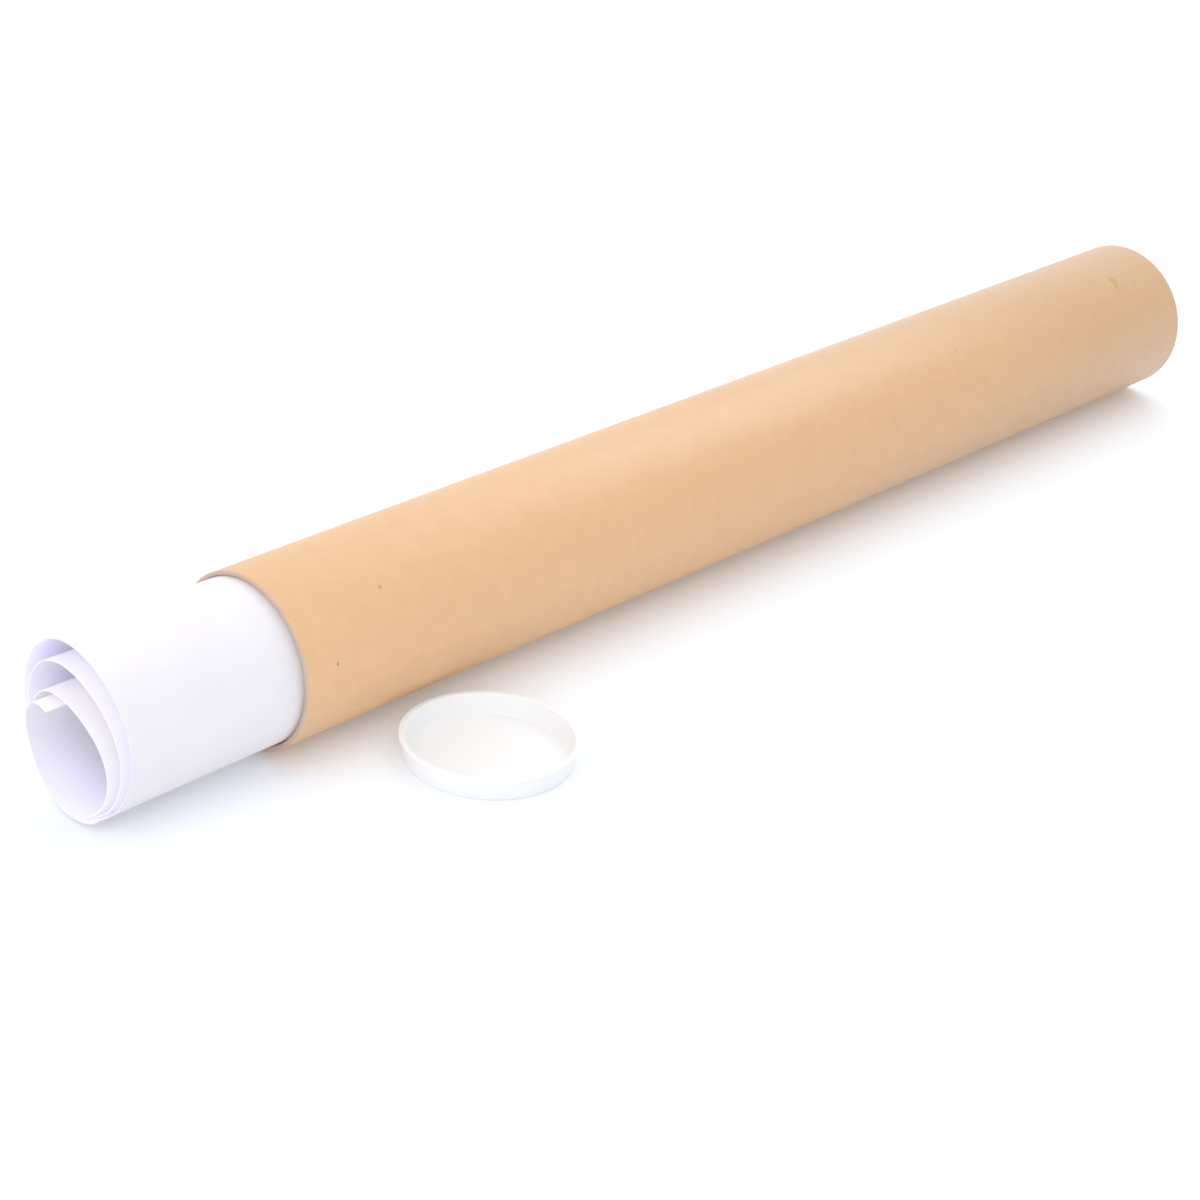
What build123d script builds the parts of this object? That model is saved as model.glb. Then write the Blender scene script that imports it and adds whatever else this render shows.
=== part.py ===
from build123d import *
from math import cos, radians, sin, sqrt
import os

os.makedirs("parts", exist_ok=True)

# A cardboard mailing tube lying on its side, opened at its near end. The tube's axis runs along +X, from
# the open mouth to the closed far end, and +Z is up. The origin lies on the floor, in the middle of the
# footprint. All sizes are in millimetres and all angles in degrees.

# Tube: one straight wound paperboard tube, cut square at both ends.
tube_length = 660.0
bore_radius = 38.0
tube_wall = 2.0
cut_edge_break = 0.3            # the saw-cut corners are very slightly broken

# End caps: two alike, thin-walled moulded plugs that are recessed like a shallow cup.
cap_flange_inset = 0.8          # the flange stays this far inside the tube's outer face
cap_flange_thickness = 1.2
cap_rim_break = 0.4             # the rim's corners are slightly broken
cap_plug_clearance = 0.05       # radial, between the plug's straight land and the bore
cap_plug_depth = 9.6            # from under the flange to the foot
cap_land_length = 3.0
cap_foot_draw_in = 1.5          # how much smaller the foot's radius is than the land's
cap_foot_break = 0.8            # lead-in around the foot
cap_wall = 1.2
cap_floor = 1.3
cap_floor_gusset = 0.6          # inside corner between the wall and the floor

# Place of the cap that has been taken off: it lies on the floor, open side up, beside the tube.
loose_cap_along = 74.0          # from the mouth, along the tube
loose_cap_gap = 8.8             # between its rim and the tube, measured across at the rim's height

# Rolled sheet: one large sheet, rolled up loosely and standing out of the mouth.
sheet_width = 500.0             # the sheet's size along the tube
sheet_thickness = 0.35
sheet_turn_gap = 0.15           # between turns where they lie on each other
sheet_turns = 3.55
sheet_inner_end_angle = 80.0    # where the inner edge ends, about the tube's axis, from +Y towards +Z
roll_side_gap = 0.7             # inside, the outer turn's mean radius is smaller than the bore's by this much
roll_sag = 0.07                 # inside, the roll lies this much below the tube's axis
roll_oval = 0.5                 # inside, the turns are this much out of round
free_radius_change = -0.17      # at the free end, outside the mouth, the same three have changed
free_sag = 0.54
free_oval = 1.4
roll_oval_angle = 48.0          # direction in which they are widest
coil_drop = 12.8                # how much smaller the inner coil's radius is than the outer turn's
coil_drop_from_share = 0.09     # shares of all the turns, between which the coil tightens
coil_drop_to_share = 0.89
leaf_droop = 3.0                # the free inner edge hangs in by this much
leaf_length_share = 0.02        # share of all the turns that hangs in
roll_reach = 101.0              # how far the foremost tip of the roll stands out of the mouth
roll_hollow_turn = 0.86         # the turn that stands out least, counted from the outer edge
roll_hollow_rate = 1.3          # how fast the others stand out further, by the square of their turns from it
roll_end_wave = 1.4             # the ends wave in and out, twice in a turn
roll_lean_side_share = 0.063    # the ends slope along Y and Z, and the slope changes with each turn
roll_lean_side_change = -0.014
roll_lean_up_share = 0.065
roll_lean_up_change = -0.045
points_per_turn = 36

# Sizes that follow.
tube_radius = bore_radius + tube_wall
flange_radius = tube_radius - cap_flange_inset
land_radius = bore_radius - cap_plug_clearance
foot_radius = land_radius - cap_foot_draw_in
cap_height = cap_plug_depth + cap_flange_thickness
roll_radius = bore_radius - roll_side_gap
turn_lift = sheet_thickness + sheet_turn_gap


def make_tube():
    """The paperboard tube, with its mouth at X = 0 and its axis on the X axis."""
    section = Rectangle(tube_length, tube_wall)
    section = Pos(tube_length / 2, bore_radius + tube_wall / 2) * section
    section = chamfer(section.vertices(), cut_edge_break)
    return revolve(section, Axis.X)


def make_cap():
    """One end cap, foot down on Z = 0 and open side up."""
    rim_bottom = cap_plug_depth
    land_bottom = rim_bottom - cap_land_length
    inner_foot_radius = foot_radius - cap_wall
    inner_rim_radius = land_radius - cap_wall
    outline = Polyline(
        (0, 0),
        (foot_radius, 0),
        (land_radius, land_bottom),
        (land_radius, rim_bottom),
        (flange_radius, rim_bottom),
        (flange_radius, cap_height),
        (inner_rim_radius, cap_height),
        (inner_foot_radius, cap_floor),
        (0, cap_floor),
        close=True,
    )
    section = make_face(outline)
    breaks = [
        ((foot_radius, 0), cap_foot_break),
        ((flange_radius, rim_bottom), cap_rim_break),
        ((flange_radius, cap_height), cap_rim_break),
        ((inner_rim_radius, cap_height), cap_rim_break),
        ((inner_foot_radius, cap_floor), cap_floor_gusset),
    ]
    for place, size in breaks:
        corner = section.vertices().sort_by_distance(place)[0]
        section = chamfer(corner, size)
    return revolve(Plane.XZ * section, Axis.Z)


def ease(share):
    """A smooth step from 0 to 1."""
    share = min(max(share, 0), 1)
    return share * share * (3 - 2 * share)


def sheet_point(turn, inward, freedom):
    """A point of the rolled sheet's edge: turn counts from the outer edge, inward is depth in the sheet,
    and freedom is 0 in the tube and 1 at the free end."""
    share = turn / sheet_turns
    tightening = ease((share - coil_drop_from_share) / (coil_drop_to_share - coil_drop_from_share))
    drop = coil_drop * tightening
    hanging = max(0, share - 1 + leaf_length_share) / leaf_length_share
    angle = radians(sheet_inner_end_angle + 360 * (turn - sheet_turns))
    oval = roll_oval + (free_oval - roll_oval) * freedom
    sag = roll_sag + (free_sag - roll_sag) * freedom
    out_of_round = oval * cos(2 * (angle - radians(roll_oval_angle))) + free_radius_change * freedom
    reach = roll_radius + out_of_round - drop - leaf_droop * hanging ** 2 - inward
    y = reach * cos(angle)
    z = reach * sin(angle) - sag - drop + turn_lift * turn
    lean_side = roll_lean_side_share + roll_lean_side_change * turn
    lean_up = roll_lean_up_share + roll_lean_up_change * turn
    hollow = roll_hollow_rate * (turn - roll_hollow_turn) ** 2
    x = lean_side * y + lean_up * z - hollow + roll_end_wave * cos(2 * angle)
    return x, y, z


def make_roll():
    """The rolled sheet: a thin spiral wall whose ends slant, built from its ruled faces in two stretches,
    one standing out of the mouth and one held in the tube."""
    steps = round(sheet_turns * points_per_turn)
    shares = [step / steps for step in range(steps + 1)]
    depths = (0, sheet_thickness)
    foremost = min(sheet_point(sheet_turns * share, depth, 1)[0] for depth in depths for share in shares)
    shift = -roll_reach - foremost
    near = []
    mouth = []
    far = []
    for depth in depths:
        free = [sheet_point(sheet_turns * share, depth, 1) for share in shares]
        held = [sheet_point(sheet_turns * share, depth, 0) for share in shares]
        near.append(Edge.make_spline([(x + shift, y, z) for x, y, z in free], parameters=shares))
        mouth.append(Edge.make_spline([(0, y, z) for x, y, z in held], parameters=shares))
        far.append(Edge.make_spline([(x + shift + sheet_width, y, z) for x, y, z in held], parameters=shares))
    faces = [
        Face.make_surface_from_curves(near[0], near[1]),
        Face.make_surface_from_curves(far[0], far[1]),
    ]
    for first, second in ((near, mouth), (mouth, far)):
        for side in (0, 1):
            faces.append(Face.make_surface_from_curves(first[side], second[side]))
        for end in (0, 1):
            outer_line = Edge.make_line(first[0] @ end, second[0] @ end)
            inner_line = Edge.make_line(first[1] @ end, second[1] @ end)
            faces.append(Face.make_surface_from_curves(outer_line, inner_line))
    return Solid(Shell(faces))


# The tube lies on the floor and everything is placed from its mouth.
tube = make_tube()
roll = make_roll()
far_cap = Pos(tube_length + cap_flange_thickness, 0) * Rot(0, 90, 0) * Pos(0, 0, -cap_height) * make_cap()
half_width_at_rim = sqrt(tube_radius ** 2 - (tube_radius - cap_height) ** 2)
loose_cap_aside = half_width_at_rim + loose_cap_gap + flange_radius
loose_cap = Pos(loose_cap_along, -loose_cap_aside, -tube_radius) * make_cap()

# The middle of the footprint goes to the origin.
low_x = -roll_reach
high_x = tube_length + cap_flange_thickness
low_y = -loose_cap_aside - flange_radius
high_y = tube_radius
to_origin = Pos(-(low_x + high_x) / 2, -(low_y + high_y) / 2, tube_radius)

pieces = {
    "tube": tube,
    "paper_roll": roll,
    "far_end_cap": far_cap,
    "loose_end_cap": loose_cap,
}
for name, piece in pieces.items():
    export_step(to_origin * piece, f"parts/{name}.step")
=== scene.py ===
from math import cos, pi, radians, sin

import bpy
from mathutils import Matrix, Vector


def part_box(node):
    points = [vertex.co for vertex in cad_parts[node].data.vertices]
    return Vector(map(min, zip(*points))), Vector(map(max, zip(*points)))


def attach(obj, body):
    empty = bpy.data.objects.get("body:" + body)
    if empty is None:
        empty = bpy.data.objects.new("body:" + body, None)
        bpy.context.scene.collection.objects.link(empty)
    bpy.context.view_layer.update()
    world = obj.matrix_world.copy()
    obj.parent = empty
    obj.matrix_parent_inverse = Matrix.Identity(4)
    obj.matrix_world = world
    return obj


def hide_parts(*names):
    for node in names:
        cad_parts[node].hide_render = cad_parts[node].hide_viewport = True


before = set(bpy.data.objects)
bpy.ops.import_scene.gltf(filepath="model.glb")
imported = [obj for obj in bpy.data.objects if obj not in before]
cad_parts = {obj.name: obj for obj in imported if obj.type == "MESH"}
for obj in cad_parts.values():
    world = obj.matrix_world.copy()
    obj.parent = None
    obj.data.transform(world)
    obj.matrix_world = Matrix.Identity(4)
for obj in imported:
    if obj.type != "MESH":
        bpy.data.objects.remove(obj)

scene = bpy.context.scene
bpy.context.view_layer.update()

# Camera. It stands at the left of the open end and a little above it, and looks down along the tube. The
# photograph is slightly tilted, so the camera is also turned about its own line of sight.
camera_place = Vector((-1.0347, -0.7956, 0.6460))
camera_heading = radians(40.3)      # from +X towards +Y
camera_pitch = radians(26.78)       # below the horizon
camera_roll = radians(5.0)
focal_pixels = 3014.0
photo_pixels = 1200.0
sensor_width = 36.0
nearest_seen = 0.05
furthest_seen = 20.0


def add_object(name, data):
    """A new object in the scene, at the origin."""
    thing = bpy.data.objects.new(name, data)
    scene.collection.objects.link(thing)
    return thing


camera_data = bpy.data.cameras.new("camera")
camera_data.sensor_width = sensor_width
camera_data.lens = focal_pixels / photo_pixels * sensor_width
camera_data.clip_start = nearest_seen
camera_data.clip_end = furthest_seen
camera = add_object("camera", camera_data)
heading_turn = Matrix.Rotation(camera_heading - pi / 2, 4, "Z")
pitch_turn = Matrix.Rotation(pi / 2 - camera_pitch, 4, "X")
roll_turn = Matrix.Rotation(camera_roll, 4, "Z")
camera.matrix_world = Matrix.Translation(camera_place) @ heading_turn @ pitch_turn @ roll_turn
scene.camera = camera

# Floor and light. The object lies on a smooth white table in an evenly white room, so its only shadows are the
# soft ones where it comes near the table. The room is a little brighter on the side of its window.
white = (1.0, 1.0, 1.0, 1.0)
window_direction = (-0.35, 0.85, 0.4)
room_dim = 0.86                     # the room's brightness opposite the window
room_bright = 1.09                  # and towards it
table_white = (0.78, 0.81, 0.855, 1.0)
table_half = 6.0
table_roughness = 0.8
table_glow = 0.13
# Large soft lamps: name, place, size, power and tint. The high one is cool daylight on the far half of the tube.
lamps = [
    ("front_lamp", Vector((-1.35, -0.45, 0.9)), 1.2, 6.6, (1.0, 1.0, 1.0)),
    ("back_lamp", Vector((0.1, 1.1, 0.6)), 1.4, 2.0, (1.0, 1.0, 1.0)),
    ("high_lamp", Vector((1.3, 0.35, 1.8)), 1.8, 14.0, (0.78, 0.9, 1.0)),
]
lamp_aim = Vector((-0.1, 0.0, 0.05))


def fill(tree, node, inputs):
    """Gives a node its inputs. Each is a value or the output of another node."""
    for name, value in dict(inputs).items():
        if isinstance(value, bpy.types.NodeSocket):
            tree.links.new(value, node.inputs[name])
        else:
            node.inputs[name].default_value = value


def put(tree, kind, inputs=(), **settings):
    """Adds a node to a tree, with its settings and its inputs."""
    node = tree.nodes.new(kind)
    for name, value in settings.items():
        setattr(node, name, value)
    fill(tree, node, inputs)
    return node


def vector_work(tree, operation, *terms):
    """One sum of vectors. A length or a dot product comes out as a number."""
    node = put(tree, "ShaderNodeVectorMath", enumerate(terms), operation=operation)
    return node.outputs["Value" if operation in ("LENGTH", "DOT_PRODUCT") else "Vector"]


scene.view_settings.view_transform = "Standard"
world = bpy.data.worlds.new("white_room")
world.use_nodes = True
room = world.node_tree
looking = put(room, "ShaderNodeTexCoord").outputs["Generated"]
brightness = put(room, "ShaderNodeMapRange", {
    "Value": vector_work(room, "DOT_PRODUCT", looking, window_direction),
    "From Min": -1.0, "From Max": 1.0, "To Min": room_dim, "To Max": room_bright})
fill(room, room.nodes["Background"], {"Color": white, "Strength": brightness.outputs[0]})
scene.world = world

for lamp_name, lamp_place, lamp_size, lamp_power, lamp_tint in lamps:
    lamp_data = bpy.data.lights.new(lamp_name, "AREA")
    lamp_data.size = lamp_size
    lamp_data.energy = lamp_power
    lamp_data.color = lamp_tint
    aimed = (lamp_aim - lamp_place).to_track_quat("-Z", "Y").to_matrix().to_4x4()
    add_object(lamp_name, lamp_data).matrix_world = Matrix.Translation(lamp_place) @ aimed

table_mesh = bpy.data.meshes.new("table")
table_corners = [(-table_half, -table_half, 0), (table_half, -table_half, 0),
                 (table_half, table_half, 0), (-table_half, table_half, 0)]
table_mesh.from_pydata(table_corners, [], [(0, 1, 2, 3)])
table = add_object("table", table_mesh)
table_finish = bpy.data.materials.new("white_table")
table_finish.use_nodes = True
fill(table_finish.node_tree, table_finish.node_tree.nodes["Principled BSDF"], {
    "Base Color": table_white, "Roughness": table_roughness,
    "Emission Color": white, "Emission Strength": table_glow})
table_mesh.materials.append(table_finish)

# Tube. One straight tube of kraft board: strips of brown paper glued over each other round a mandrel, under a
# smooth kraft liner. It is sawn square at both ends, where the plies show as fine rings.
tube_low, tube_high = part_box("tube")
tube_length = tube_high[0] - tube_low[0]
tube_radius = 0.040
tube_wall = 0.002
tube_edge_break = 0.0003
tube_sides = 160
tube_axis_y = (tube_low[1] + tube_high[1]) / 2
tube_middle = (tube_low[0] + tube_length / 2, tube_axis_y, tube_radius)
cut_facing = 0.5                    # a face that looks along the tube by more than this is sawn
smooth_angle = radians(50)          # a sharper corner is a real edge

kraft_colour = (0.695, 0.424, 0.219, 1.0)
kraft_dark_colour = (0.652, 0.385, 0.192, 1.0)
kraft_pale_colour = (0.76, 0.52, 0.33, 1.0)
kraft_far_shade_tint = (0.95, 0.90, 0.82, 1.0)      # painted shade: darker and yellower, from none at the mouth to all at the far end
kraft_clouds_per_metre = 110.0
kraft_fibres_per_metre = 850.0
kraft_cloud_share = 0.5
kraft_fibre_share = 0.28
kraft_ridge_share = 0.8
kraft_ridge_foot, kraft_ridge_top = 0.85, 1.25  # heights of the relief between which it turns darker
kraft_roughness = (0.44, 0.46)
kraft_shine = 1.0
kraft_fuzz = 0.15
kraft_fuzz_roughness = 0.3
kraft_fuzz_tint = (0.82, 0.9, 1.0, 1.0)
kraft_bump = 0.06

cut_colour = (0.60, 0.46, 0.38, 1.0)
cut_clouds_per_metre = 120.0
cut_fibres_per_metre = 2200.0
cut_fibre_lie = (1.0, 1.0, 1.0)
cut_fibre_share = 0.5
cut_roughness = 0.85
cut_bump = 0.5
ply_thickness = 0.00033
ply_wander = 0.25                   # of a ply, how much the glue lines stray
ply_line_colour = (0.42, 0.30, 0.24, 1.0)
ply_line_share = 0.7
ply_line_edge, ply_line_core = 0.32, 0.48       # of a ply, from its middle
board_bump_depth = 0.0002

fleck_colour = (0.13, 0.075, 0.03, 1.0)
bark_colour = (0.36, 0.17, 0.08, 1.0)
stain_colour = (0.56, 0.29, 0.06, 1.0)
# Bits in the liner: distance from the mouth, degrees round from the +Y side over the top, half size, strength
# and colour. The last two are the brown stain near the far end.
flecks = [
    (0.0174, 166.5, (0.0006, 0.0010, 0.0013), 0.75, fleck_colour),
    (0.0517, 132.3, (0.0011, 0.0012, 0.0012), 0.55, bark_colour),
    (0.4673, 123.8, (0.0014, 0.0011, 0.0011), 0.30, bark_colour),
    (0.4082, 128.4, (0.0012, 0.0011, 0.0011), 0.14, bark_colour),
    (0.4779, 152.8, (0.0013, 0.0012, 0.0012), 0.18, bark_colour),
    (0.6178, 116.5, (0.0030, 0.0034, 0.0034), 1.00, stain_colour),
    (0.6172, 122.0, (0.0018, 0.0026, 0.0026), 0.80, stain_colour),
]


def work(tree, operation, *terms):
    """One sum of numbers that vary over the piece."""
    return put(tree, "ShaderNodeMath", enumerate(terms), operation=operation).outputs[0]


def noise(tree, place, per_metre, detail, roughness=0.5, distortion=0.0):
    """Soft noise over the piece, with about so many patches in a metre."""
    inputs = {"Vector": place, "Scale": per_metre, "Detail": detail, "Roughness": roughness,
              "Distortion": distortion}
    return put(tree, "ShaderNodeTexNoise", inputs).outputs[0]


def spread(tree, value, low, high, out_low=0.0, out_high=1.0):
    """A value eased from one range to another, and held at its ends."""
    inputs = {"Value": value, "From Min": low, "From Max": high, "To Min": out_low, "To Max": out_high}
    return put(tree, "ShaderNodeMapRange", inputs, interpolation_type="SMOOTHSTEP").outputs[0]


def mix_colours(tree, share, first, second, way="MIX"):
    """Two colours laid over each other, by a share."""
    inputs = {0: share, 6: first, 7: second}
    return put(tree, "ShaderNodeMix", inputs, data_type="RGBA", blend_type=way).outputs[2]


def lay_over(tree, colour, over, mask, most):
    """A second colour laid over the first where the mask lets it, at most by a share."""
    return mix_colours(tree, work(tree, "MULTIPLY", mask, most), colour, over)


def uneven(tree, height, strength, depth):
    """A surface that is uneven by a height."""
    return put(tree, "ShaderNodeBump", {"Height": height, "Strength": strength, "Distance": depth}).outputs[0]


def distance_along(tree, place):
    """Where a place is along the tube."""
    return put(tree, "ShaderNodeSeparateXYZ", {0: place}).outputs[0]


def distance_from_axis(tree, place):
    """How far a place is from the tube's axis."""
    offset = vector_work(tree, "SUBTRACT", place, (0.0, tube_axis_y, tube_radius))
    return vector_work(tree, "LENGTH", vector_work(tree, "MULTIPLY", offset, (0.0, 1.0, 1.0)))


def new_group(name, takes, gives):
    """An empty group of shader nodes: its tree, its named inputs, and the node that its outputs go to."""
    tree = bpy.data.node_groups.new(name, "ShaderNodeTree")
    for direction, sockets in (("INPUT", takes), ("OUTPUT", gives)):
        for label, kind, value in sockets:
            socket = tree.interface.new_socket(name=label, in_out=direction, socket_type="NodeSocket" + kind)
            if value is not None:
                socket.default_value = value
    return tree, tree.nodes.new("NodeGroupInput").outputs, tree.nodes.new("NodeGroupOutput")


# Pulp: what all the paper and board of this object is made of. Cloudy where the pulp lay thicker, with short
# fibres in it, and a faintly uneven surface.
thin_pulp, thick_pulp = 0.3, 0.7                # of the clouds' noise
fibre_side, fibre_core = 0.56, 0.72             # of the fibres' noise
fibre_height = 0.6                              # against that of the grain between the fibres

pulp, pulp_in, pulp_out = new_group(
    "pulp",
    [("Place", "Vector", None), ("Clouds per Metre", "Float", 60.0), ("Fibres per Metre", "Float", 900.0),
     ("Lie", "Vector", (0.3, 1.0, 1.0))],
    [("Cloud", "Float", None), ("Fibre", "Float", None), ("Relief", "Float", None)])
pulp_lie = vector_work(pulp, "MULTIPLY", pulp_in["Place"], pulp_in["Lie"])
pulp_cloud = noise(pulp, pulp_in["Place"], pulp_in["Clouds per Metre"], detail=5.0, roughness=0.6)
pulp_fibre = noise(pulp, pulp_lie, pulp_in["Fibres per Metre"], detail=3.0, roughness=0.65, distortion=1.2)
pulp_grain = noise(pulp, pulp_in["Place"], pulp_in["Fibres per Metre"], detail=2.0)
fill(pulp, pulp_out, {
    "Cloud": spread(pulp, pulp_cloud, thin_pulp, thick_pulp),
    "Fibre": spread(pulp, pulp_fibre, fibre_side, fibre_core),
    "Relief": work(pulp, "ADD", pulp_grain, work(pulp, "MULTIPLY", pulp_fibre, fibre_height))})

# Fleck: a bit of bark or an ink-dark fibre in the liner, with a ragged outline.
fleck_rags_per_metre = 1400.0
fleck_raggedness = 1.4
noise_middle = 0.5
fleck_outline, fleck_core = 1.25, 0.45          # in half sizes: where it begins, and where it is whole

fleck, fleck_in, fleck_out = new_group(
    "fleck",
    [("Place", "Vector", None), ("Centre", "Vector", None), ("Half Size", "Vector", None),
     ("Strength", "Float", 1.0)],
    [("Mask", "Float", None)])
fleck_offset = vector_work(fleck, "SUBTRACT", fleck_in["Place"], fleck_in["Centre"])
fleck_reach = vector_work(fleck, "LENGTH", vector_work(fleck, "DIVIDE", fleck_offset, fleck_in["Half Size"]))
fleck_rag = noise(fleck, fleck_in["Place"], fleck_rags_per_metre, detail=2.0)
fleck_rag = work(fleck, "SUBTRACT", fleck_rag, noise_middle)
fleck_edge = work(fleck, "ADD", fleck_reach, work(fleck, "MULTIPLY", fleck_rag, fleck_raggedness))
fleck_cover = spread(fleck, fleck_edge, fleck_outline, fleck_core)
fill(fleck, fleck_out, {"Mask": work(fleck, "MULTIPLY", fleck_cover, fleck_in["Strength"])})


def new_finish(name):
    """An empty material, its tree, its shader and where on the piece it is."""
    finish = bpy.data.materials.new(name)
    finish.use_nodes = True
    tree = finish.node_tree
    place = put(tree, "ShaderNodeTexCoord").outputs["Object"]
    return finish, tree, tree.nodes["Principled BSDF"], place


def use_group(tree, group, inputs):
    """What a group puts out, placed in a material with its own values."""
    return put(tree, "ShaderNodeGroup", inputs, node_tree=group).outputs


kraft_liner, tree, shader, place = new_finish("kraft_liner")
fibres = use_group(tree, pulp, {
    "Place": place, "Clouds per Metre": kraft_clouds_per_metre, "Fibres per Metre": kraft_fibres_per_metre})
colour = lay_over(tree, kraft_colour, kraft_dark_colour, fibres["Cloud"], kraft_cloud_share)
colour = lay_over(tree, colour, kraft_pale_colour, fibres["Fibre"], kraft_fibre_share)
ridges = spread(tree, fibres["Relief"], kraft_ridge_foot, kraft_ridge_top, 0.0, kraft_ridge_share)
colour = mix_colours(tree, ridges, colour, kraft_dark_colour)
# Painted shade: the liner turns darker and yellower towards the far end.
far_shade = spread(tree, distance_along(tree, place), tube_low[0], tube_high[0])
colour = mix_colours(tree, far_shade, colour, kraft_far_shade_tint, "MULTIPLY")
for from_mouth, degrees_round, half_size, strength, bit_colour in flecks:
    aside = tube_radius * cos(radians(degrees_round))
    up = tube_radius * sin(radians(degrees_round))
    centre = (tube_low[0] + from_mouth, tube_axis_y + aside, tube_radius + up)
    bit = use_group(tree, fleck, {"Place": place, "Centre": centre, "Half Size": half_size, "Strength": strength})
    colour = mix_colours(tree, bit["Mask"], colour, bit_colour)
fill(tree, shader, {
    "Base Color": colour,
    "Roughness": spread(tree, fibres["Cloud"], 0.0, 1.0, *kraft_roughness),
    "Specular IOR Level": kraft_shine,
    "Sheen Weight": kraft_fuzz,
    "Sheen Roughness": kraft_fuzz_roughness,
    "Sheen Tint": kraft_fuzz_tint,
    "Normal": uneven(tree, fibres["Relief"], kraft_bump, board_bump_depth)})

cut_board, tree, shader, place = new_finish("cut_board")
fibres = use_group(tree, pulp, {
    "Place": place, "Clouds per Metre": cut_clouds_per_metre, "Fibres per Metre": cut_fibres_per_metre,
    "Lie": cut_fibre_lie})
plies_out = work(tree, "DIVIDE", distance_from_axis(tree, place), ply_thickness)
ply = work(tree, "FRACT", work(tree, "ADD", plies_out, work(tree, "MULTIPLY", fibres["Cloud"], ply_wander)))
from_middle = work(tree, "ABSOLUTE", work(tree, "SUBTRACT", ply, 0.5))
ply_line = spread(tree, from_middle, ply_line_edge, ply_line_core)
colour = lay_over(tree, cut_colour, kraft_pale_colour, fibres["Fibre"], cut_fibre_share)
colour = lay_over(tree, colour, ply_line_colour, ply_line, ply_line_share)
cut_height = work(tree, "SUBTRACT", fibres["Relief"], ply_line)
fill(tree, shader, {
    "Base Color": colour, "Roughness": cut_roughness,
    "Normal": uneven(tree, cut_height, cut_bump, board_bump_depth)})


def new_shape(name, takes):
    """An empty tree of geometry nodes: its tree, its named inputs, where its shape goes, and each input's key."""
    tree = bpy.data.node_groups.new(name, "GeometryNodeTree")
    tree.interface.new_socket(name="Shape", in_out="OUTPUT", socket_type="NodeSocketGeometry")
    keys = {}
    for label, kind in takes:
        socket = tree.interface.new_socket(name=label, in_out="INPUT", socket_type="NodeSocket" + kind)
        keys[label] = socket.identifier
    return tree, tree.nodes.new("NodeGroupInput").outputs, tree.nodes.new("NodeGroupOutput"), keys


def is_more(tree, value, limit):
    """Where a value is more than a limit."""
    settings = {"data_type": "FLOAT", "operation": "GREATER_THAN"}
    return put(tree, "FunctionNodeCompare", {0: value, 1: limit}, **settings).outputs[0]


def paint(tree, surface, finish, where=True):
    """A surface with its finish, or with it only on the faces that are asked for."""
    inputs = {"Geometry": surface, "Selection": where, "Material": finish}
    return put(tree, "GeometryNodeSetMaterial", inputs).outputs[0]


def smooth(mesh):
    """Shades a mesh smooth but for its real edges."""
    mesh.polygons.foreach_set("use_smooth", [True] * len(mesh.polygons))
    mesh.set_sharp_from_angle(angle=smooth_angle)


def make_piece(name, tree, keys, values):
    """The tree's result as a plain mesh."""
    former = add_object(name + "_former", bpy.data.meshes.new(name + "_former"))
    modifier = former.modifiers.new("shape", "NODES")
    modifier.node_group = tree
    for label, value in values.items():
        modifier[keys[label]] = value
    seen = former.evaluated_get(bpy.context.evaluated_depsgraph_get())
    mesh = bpy.data.meshes.new_from_object(seen)
    bpy.data.objects.remove(former)
    mesh.name = name
    smooth(mesh)
    return add_object(name, mesh)


shape, takes, gives, keys = new_shape(
    "wound_tube",
    [("Length", "Float"), ("Outer Radius", "Float"), ("Wall", "Float"), ("Edge Break", "Float"), ("Sides", "Int"),
     ("Middle", "Vector"), ("Liner", "Material"), ("Cut", "Material")])
half_wall = work(shape, "MULTIPLY", takes["Wall"], 0.5)
wall_radius = work(shape, "SUBTRACT", takes["Outer Radius"], half_wall)
ring = put(shape, "GeometryNodeCurvePrimitiveCircle", {
    "Resolution": takes["Sides"], "Radius": wall_radius}, mode="RADIUS")
section = put(shape, "GeometryNodeCurvePrimitiveQuadrilateral", {
    "Width": takes["Wall"], "Height": takes["Length"]}, mode="RECTANGLE")
broken = put(shape, "GeometryNodeFilletCurve", {"Curve": section.outputs[0], "Radius": takes["Edge Break"]})
wall = put(shape, "GeometryNodeCurveToMesh", {"Curve": ring.outputs[0], "Profile Curve": broken.outputs[0]})
lying = put(shape, "GeometryNodeTransform", {
    "Geometry": wall.outputs[0], "Translation": takes["Middle"], "Rotation": (0.0, pi / 2, 0.0)})
facing = put(shape, "ShaderNodeSeparateXYZ", {0: put(shape, "GeometryNodeInputNormal").outputs[0]}).outputs[0]
whole = put(shape, "GeometryNodeRealizeInstances", {0: lying.outputs[0]})
lined = paint(shape, whole.outputs[0], takes["Liner"])
sawn = paint(shape, lined, takes["Cut"], is_more(shape, work(shape, "ABSOLUTE", facing), cut_facing))
fill(shape, gives, {"Shape": sawn})

tube = make_piece("tube_board", shape, keys, {
    "Length": tube_length, "Outer Radius": tube_radius, "Wall": tube_wall, "Edge Break": tube_edge_break,
    "Sides": tube_sides, "Middle": tube_middle, "Liner": kraft_liner, "Cut": cut_board})
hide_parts("tube")
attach(tube, "tube")

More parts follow.
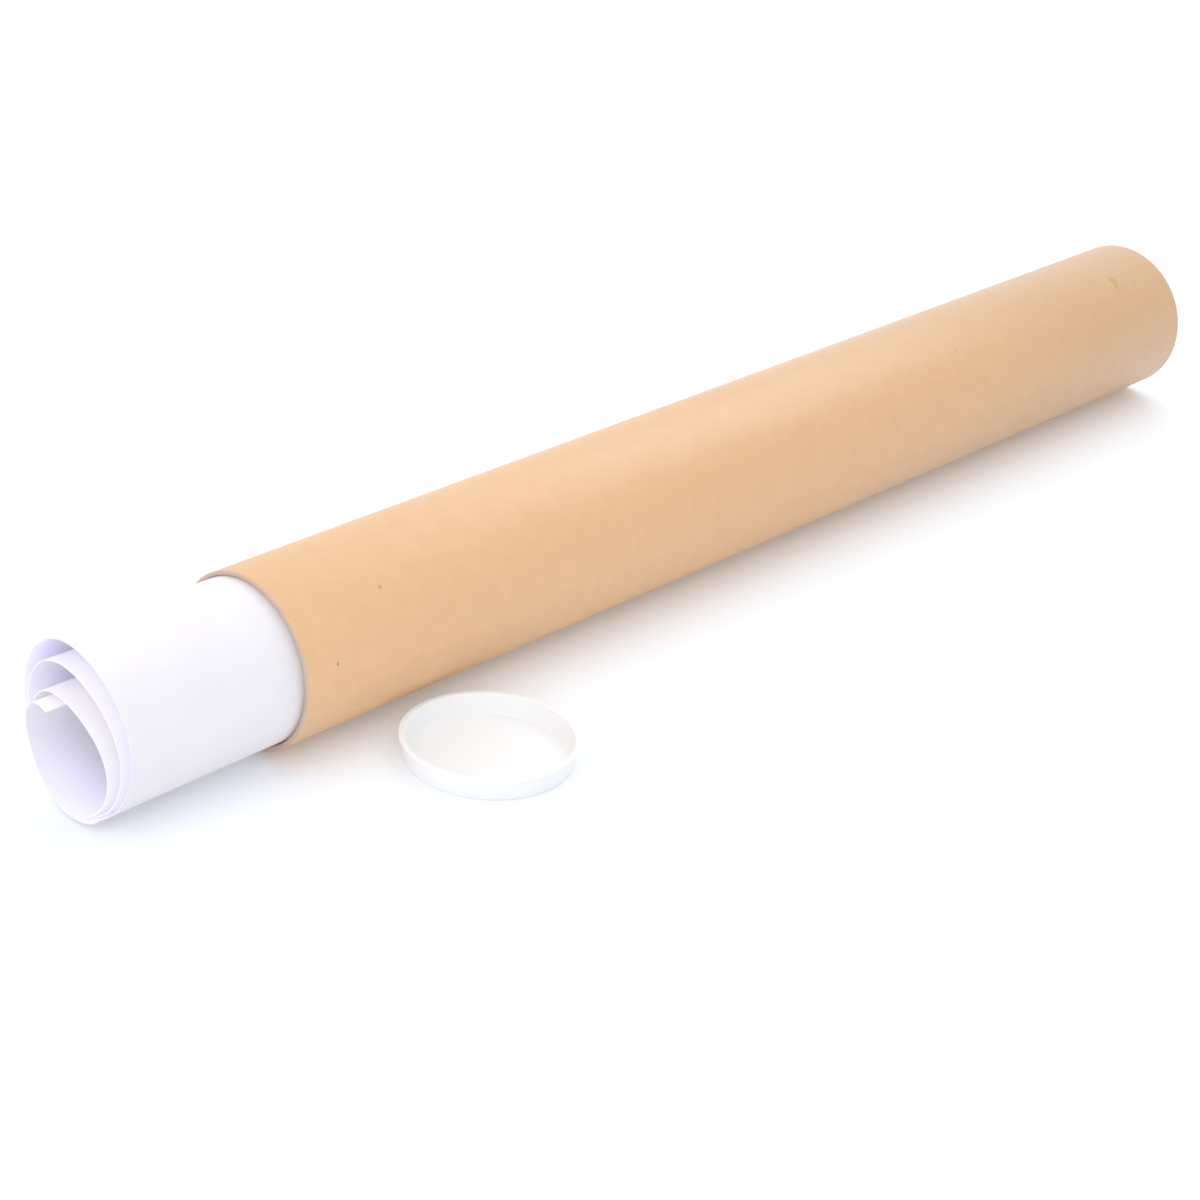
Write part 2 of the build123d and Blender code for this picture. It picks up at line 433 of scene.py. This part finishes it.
# Rolled sheet. One large sheet of stout white paper, rolled up loosely by hand and pushed into the mouth. It
# springs open against the bore, and its turns stand out of the mouth by different lengths.
sheet_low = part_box("paper_roll")[0]
roll_sizes = {
    "Width": 0.5,
    "Thickness": 0.00035,
    "Turns": 3.55,
    "Inner End": radians(80.0),
    "Radius": 0.0373,
    "Sag": 0.00007,
    "Oval": 0.0005,
    "Free Radius Change": -0.00017,
    "Free Sag": 0.00054,
    "Free Oval": 0.0014,
    "Oval Angle": radians(48.0),
    "Coil Drop": 0.0128,
    "Drop From": 0.09,
    "Drop To": 0.89,
    "Turn Lift": 0.0005,
    "Leaf Droop": 0.003,
    "Leaf Share": 0.02,
    "Hollow Turn": 0.86,
    "Hollow Rate": 0.0013,
    "End Wave": 0.0014,
    "Lean Side": 0.063,
    "Lean Side Change": -0.014,
    "Lean Up": 0.065,
    "Lean Up Change": -0.045,
    "Reach": tube_low[0] - sheet_low[0],
    "Mouth X": tube_low[0],
    "Axis Y": tube_axis_y,
    "Axis Z": tube_radius,
}
sheet_steps_along = 26
sheet_steps_round = 420
weld_distance = 0.000001

paper_colour = (0.675, 0.648, 0.686, 1.0)
# The inner face is the same white paper, given a lighter lavender colour as painted light and shade inside the
# roll.
paper_inside_painted_tint = (0.73, 0.715, 0.78, 1.0)
paper_fibre_colour = (0.9, 0.9, 0.92, 1.0)
paper_shade = 0.93                  # of the paper's colour, where the pulp lay thicker
paper_clouds_per_metre = 45.0
paper_fibres_per_metre = 1500.0
paper_fibre_lie = (0.5, 1.0, 1.0)
paper_cloud_share = 0.35
paper_fibre_share = 0.15
paper_roughness = (0.5, 0.58)
paper_bump = 0.06
paper_bump_depth = 0.0001
# Glow is painted light: emission that stands in for the light that comes through the thin paper. Inside the roll
# it fades out with depth as painted shade, and on the sheet's inner face it is weaker in the core than in the
# outer turns.
outer_painted_light = (0.11, 0.107, 0.115, 1.0)
band_painted_light = (0.24, 0.24, 0.25, 1.0)
turn_painted_light = (0.28, 0.27, 0.41, 1.0)
core_painted_light = (0.175, 0.17, 0.178, 1.0)
no_glow = (0.0, 0.0, 0.0, 1.0)
painted_glow_strength = 1.0
painted_light_start = sheet_low[0] + 0.006
painted_light_end = sheet_low[0] + 0.066
core_radius, rim_radius = 0.026, 0.037

# The sheet has three finishes: its outer face in the first turn, its outer face where a turn covers it, and
# its inner face. They are copies of one paper that differ only in painted light and shade.
paper_lit_finishes = {}
for name, base, core_light, rim_light, deep_light in (
        ("Outside", paper_colour, outer_painted_light, outer_painted_light, outer_painted_light),
        ("Within", paper_colour, band_painted_light, band_painted_light, no_glow),
        ("Inside", paper_inside_painted_tint, core_painted_light, turn_painted_light, no_glow)):
    finish, tree, shader, place = new_finish("paper_" + name.lower())
    fibres = use_group(tree, pulp, {
        "Place": place, "Clouds per Metre": paper_clouds_per_metre, "Fibres per Metre": paper_fibres_per_metre,
        "Lie": paper_fibre_lie})
    shaded = tuple(paper_shade * part for part in base[:3]) + (1.0,)
    colour = lay_over(tree, base, shaded, fibres["Cloud"], paper_cloud_share)
    colour = lay_over(tree, colour, paper_fibre_colour, fibres["Fibre"], paper_fibre_share)
    # Painted light: the emission is weaker in the core than at the rim, and fades out deeper in the roll.
    outwards = spread(tree, distance_from_axis(tree, place), core_radius, rim_radius)
    lit = mix_colours(tree, outwards, core_light, rim_light)
    inwards = spread(tree, distance_along(tree, place), painted_light_start, painted_light_end)
    fill(tree, shader, {
        "Base Color": colour,
        "Roughness": spread(tree, fibres["Cloud"], 0.0, 1.0, *paper_roughness),
        "Emission Color": mix_colours(tree, inwards, lit, deep_light),
        "Emission Strength": painted_glow_strength,
        "Normal": uneven(tree, fibres["Relief"], paper_bump, paper_bump_depth)})
    paper_lit_finishes[name] = finish

shape, takes, gives, keys = new_shape(
    "rolled_sheet",
    [(label, "Float") for label in roll_sizes] + [("Steps Along", "Int"), ("Steps Round", "Int")]
    + [(label, "Material") for label in paper_lit_finishes])


def reckon(operation, *terms):
    """One sum in the rolled sheet's own tree."""
    return work(shape, operation, *terms)


def squared(value):
    """A value of the rolled sheet's tree, times itself."""
    return reckon("MULTIPLY", value, value)


flat = put(shape, "GeometryNodeMeshGrid", {
    "Size X": 1.0, "Size Y": 1.0,
    "Vertices X": takes["Steps Along"], "Vertices Y": takes["Steps Round"]}).outputs["Mesh"]
spot = put(shape, "ShaderNodeSeparateXYZ", {0: put(shape, "GeometryNodeInputPosition").outputs[0]})
along_share = reckon("ADD", spot.outputs[0], 0.5)
round_share = reckon("ADD", spot.outputs[1], 0.5)
turn = reckon("MULTIPLY", round_share, takes["Turns"])
angle = reckon("MULTIPLY_ADD", reckon("SUBTRACT", turn, takes["Turns"]), 2 * pi, takes["Inner End"])
drop = reckon("MULTIPLY", spread(shape, round_share, takes["Drop From"], takes["Drop To"]), takes["Coil Drop"])
leaf_start = reckon("SUBTRACT", 1.0, takes["Leaf Share"])
past_start = reckon("MAXIMUM", reckon("SUBTRACT", round_share, leaf_start), 0.0)
droop = reckon("MULTIPLY", squared(reckon("DIVIDE", past_start, takes["Leaf Share"])), takes["Leaf Droop"])
widest = reckon("COSINE", reckon("MULTIPLY", reckon("SUBTRACT", angle, takes["Oval Angle"]), 2.0))
lift = reckon("SUBTRACT", reckon("MULTIPLY", turn, takes["Turn Lift"]), drop)


def roll_section(freedom):
    """Where the paper lies across the tube. Freedom is 0 in the bore and 1 at the free end."""
    oval = put(shape, "ShaderNodeMix", {0: freedom, 2: takes["Oval"], 3: takes["Free Oval"]}).outputs[0]
    sag = put(shape, "ShaderNodeMix", {0: freedom, 2: takes["Sag"], 3: takes["Free Sag"]}).outputs[0]
    mean = reckon("MULTIPLY_ADD", freedom, takes["Free Radius Change"], takes["Radius"])
    reach = reckon("SUBTRACT", reckon("MULTIPLY_ADD", oval, widest, mean), reckon("ADD", drop, droop))
    aside = reckon("MULTIPLY", reach, reckon("COSINE", angle))
    up = reckon("MULTIPLY_ADD", reach, reckon("SINE", angle), reckon("SUBTRACT", lift, sag))
    return aside, up


edge_aside, edge_up = roll_section(1.0)
lean_side = reckon("MULTIPLY_ADD", turn, takes["Lean Side Change"], takes["Lean Side"])
lean_up = reckon("MULTIPLY_ADD", turn, takes["Lean Up Change"], takes["Lean Up"])
slant = reckon("MULTIPLY_ADD", lean_up, edge_up, reckon("MULTIPLY", lean_side, edge_aside))
hollow = reckon("MULTIPLY", squared(reckon("SUBTRACT", turn, takes["Hollow Turn"])), takes["Hollow Rate"])
wave = reckon("COSINE", reckon("MULTIPLY", angle, 2.0))
edge = reckon("MULTIPLY_ADD", wave, takes["End Wave"], reckon("SUBTRACT", slant, hollow))
foremost = put(shape, "GeometryNodeAttributeStatistic", {"Geometry": flat, "Attribute": edge},
               data_type="FLOAT", domain="POINT").outputs["Min"]
free_edge = reckon("SUBTRACT", edge, reckon("ADD", foremost, takes["Reach"]))
along = reckon("MULTIPLY_ADD", along_share, takes["Width"], free_edge)
aside, up = roll_section(put(shape, "ShaderNodeClamp", {0: reckon("DIVIDE", along, free_edge)}).outputs[0])

outside = paint(shape, flat, takes["Outside"])
covered = is_more(shape, turn, 1.0)
within = paint(shape, outside, takes["Within"], covered)
bent_place = put(shape, "ShaderNodeCombineXYZ", {0: along, 1: aside, 2: up})
bent = put(shape, "GeometryNodeSetPosition", {"Geometry": within, "Position": bent_place.outputs[0]})
mouth = put(shape, "ShaderNodeCombineXYZ", {0: takes["Mouth X"], 1: takes["Axis Y"], 2: takes["Axis Z"]})
placed = put(shape, "GeometryNodeTransform", {"Geometry": bent.outputs[0], "Translation": mouth.outputs[0]})
thick = put(shape, "GeometryNodeExtrudeMesh", {
    "Mesh": placed.outputs[0], "Offset Scale": takes["Thickness"], "Individual": False}, mode="FACES")
turned_out = put(shape, "GeometryNodeFlipFaces", {0: placed.outputs[0]})
inner_side = paint(shape, thick.outputs["Mesh"], takes["Inside"], thick.outputs["Top"])
joined = put(shape, "GeometryNodeJoinGeometry")
for side in (turned_out.outputs[0], inner_side):
    shape.links.new(side, joined.inputs[0])
closed = put(shape, "GeometryNodeMergeByDistance", {"Geometry": joined.outputs[0], "Distance": weld_distance})
whole = put(shape, "GeometryNodeRealizeInstances", {0: closed.outputs[0]})
fill(shape, gives, {"Shape": whole.outputs[0]})

sheet = make_piece("rolled_paper", shape, keys, {
    **roll_sizes, **paper_lit_finishes, "Steps Along": sheet_steps_along, "Steps Round": sheet_steps_round})
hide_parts("paper_roll")
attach(sheet, "tube")

# End caps. Two alike, moulded in one piece from white polythene: a shallow cup whose wall draws in towards
# the foot, so that it starts easily in the bore, under a flat flange that stops on the tube's end.
flange_radius = 0.0392
flange_thickness = 0.0012
land_radius = 0.03795
land_length = 0.003
foot_radius = 0.03645
cap_wall = 0.0012
cap_floor = 0.0013
cap_height = 0.0108
cap_sides = 144
rounding_steps = 4
# The section's corners from the middle of the underside, out round the rim and back in: radius, height, rounding.
cap_corners = [
    (0.0, 0.0, 0.0),
    (foot_radius, 0.0, 0.0008),
    (land_radius, cap_height - flange_thickness - land_length, 0.0006),
    (land_radius, cap_height - flange_thickness, 0.0001),
    (flange_radius, cap_height - flange_thickness, 0.0003),
    (flange_radius, cap_height, 0.0003),
    (land_radius - cap_wall, cap_height, 0.0004),
    (foot_radius - cap_wall, cap_floor, 0.0006),
    (0.0, cap_floor, 0.0),
]

plastic_colour = (0.75, 0.755, 0.765, 1.0)
plastic_scuff_colour = (0.80, 0.80, 0.80, 1.0)
plastic_painted_glow = (0.10, 0.10, 0.10, 1.0)          # painted light: glow that stands in for the light that comes through the thin wall
plastic_roughness = (0.34, 0.42)
plastic_bump = 0.08
plastic_bump_depth = 0.0002
flow_marks_per_metre = 90.0
flow_height = 2.0                               # against that of the fine peel
flow_low, flow_high = 0.3, 0.7                  # of the flow marks' noise
peel_per_metre = 1100.0
scuffs_per_metre = 260.0
scuff_edge, scuff_core = 0.6, 0.75              # of the scuffs' noise
scuff_share = 0.15
scuff_roughness = 0.12

white_plastic, tree, shader, place = new_finish("white_polythene")
flow = noise(tree, place, flow_marks_per_metre, detail=3.0)
peel = noise(tree, place, peel_per_metre, detail=2.0)
scuff = noise(tree, place, scuffs_per_metre, detail=6.0, roughness=0.7, distortion=2.0)
scuff = spread(tree, scuff, scuff_edge, scuff_core)
satin = spread(tree, flow, flow_low, flow_high, *plastic_roughness)
plastic_height = work(tree, "MULTIPLY_ADD", flow, flow_height, peel)
# The emission is painted light, standing in for light that comes through the thin wall.
fill(tree, shader, {
    "Base Color": lay_over(tree, plastic_colour, plastic_scuff_colour, scuff, scuff_share),
    "Roughness": work(tree, "MULTIPLY_ADD", scuff, scuff_roughness, satin),
    "Emission Color": plastic_painted_glow,
    "Emission Strength": painted_glow_strength,
    "Normal": uneven(tree, plastic_height, plastic_bump, plastic_bump_depth)})


def round_corners(corners):
    """A line through corners (radius, height, rounding), with each corner rounded by a small arc."""
    line = []
    for before, here, after in zip([corners[0]] + corners, corners, corners[1:] + [corners[-1]]):
        at = Vector(here[:2])
        size = here[2]
        if size == 0:
            line.append(at)
            continue
        start = at + (Vector(before[:2]) - at).normalized() * size
        end = at + (Vector(after[:2]) - at).normalized() * size
        for step in range(rounding_steps + 1):
            share = step / rounding_steps
            line.append(start * (1 - share) ** 2 + at * (2 * share * (1 - share)) + end * share ** 2)
    return line


def moulded_cap(name, to_place, body):
    """One cap turned from its section, foot down, and then put in its place."""
    line = round_corners(cap_corners)
    points = [to_place @ Vector((0.0, 0.0, line[0][1]))]
    for radius, height in line[1:-1]:
        for side in range(cap_sides):
            around = 2 * pi * side / cap_sides
            points.append(to_place @ Vector((radius * cos(around), radius * sin(around), height)))
    points.append(to_place @ Vector((0.0, 0.0, line[-1][1])))
    faces = []
    first_ring = 1
    last_ring = len(points) - 1 - cap_sides
    for side in range(cap_sides):
        beside = (side + 1) % cap_sides
        faces.append((0, first_ring + beside, first_ring + side))
        faces.append((len(points) - 1, last_ring + side, last_ring + beside))
        for ring in range(first_ring, last_ring, cap_sides):
            next_ring = ring + cap_sides
            faces.append((ring + side, ring + beside, next_ring + beside, next_ring + side))
    mesh = bpy.data.meshes.new(name)
    mesh.from_pydata(points, [], faces)
    smooth(mesh)
    mesh.materials.append(white_plastic)
    cap = add_object(name, mesh)
    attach(cap, body)
    return cap


loose_low, loose_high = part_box("loose_end_cap")
loose_place = Matrix.Translation(((loose_low[0] + loose_high[0]) / 2, (loose_low[1] + loose_high[1]) / 2, 0.0))
loose_cap = moulded_cap("loose_cap", loose_place, "tube")
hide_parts("loose_end_cap")
far_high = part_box("far_end_cap")[1]
far_foot = Matrix.Translation((far_high[0] - cap_height, tube_axis_y, tube_radius))
far_cap = moulded_cap("far_cap", far_foot @ Matrix.Rotation(pi / 2, 4, "Y"), "far_cap")
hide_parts("far_end_cap")
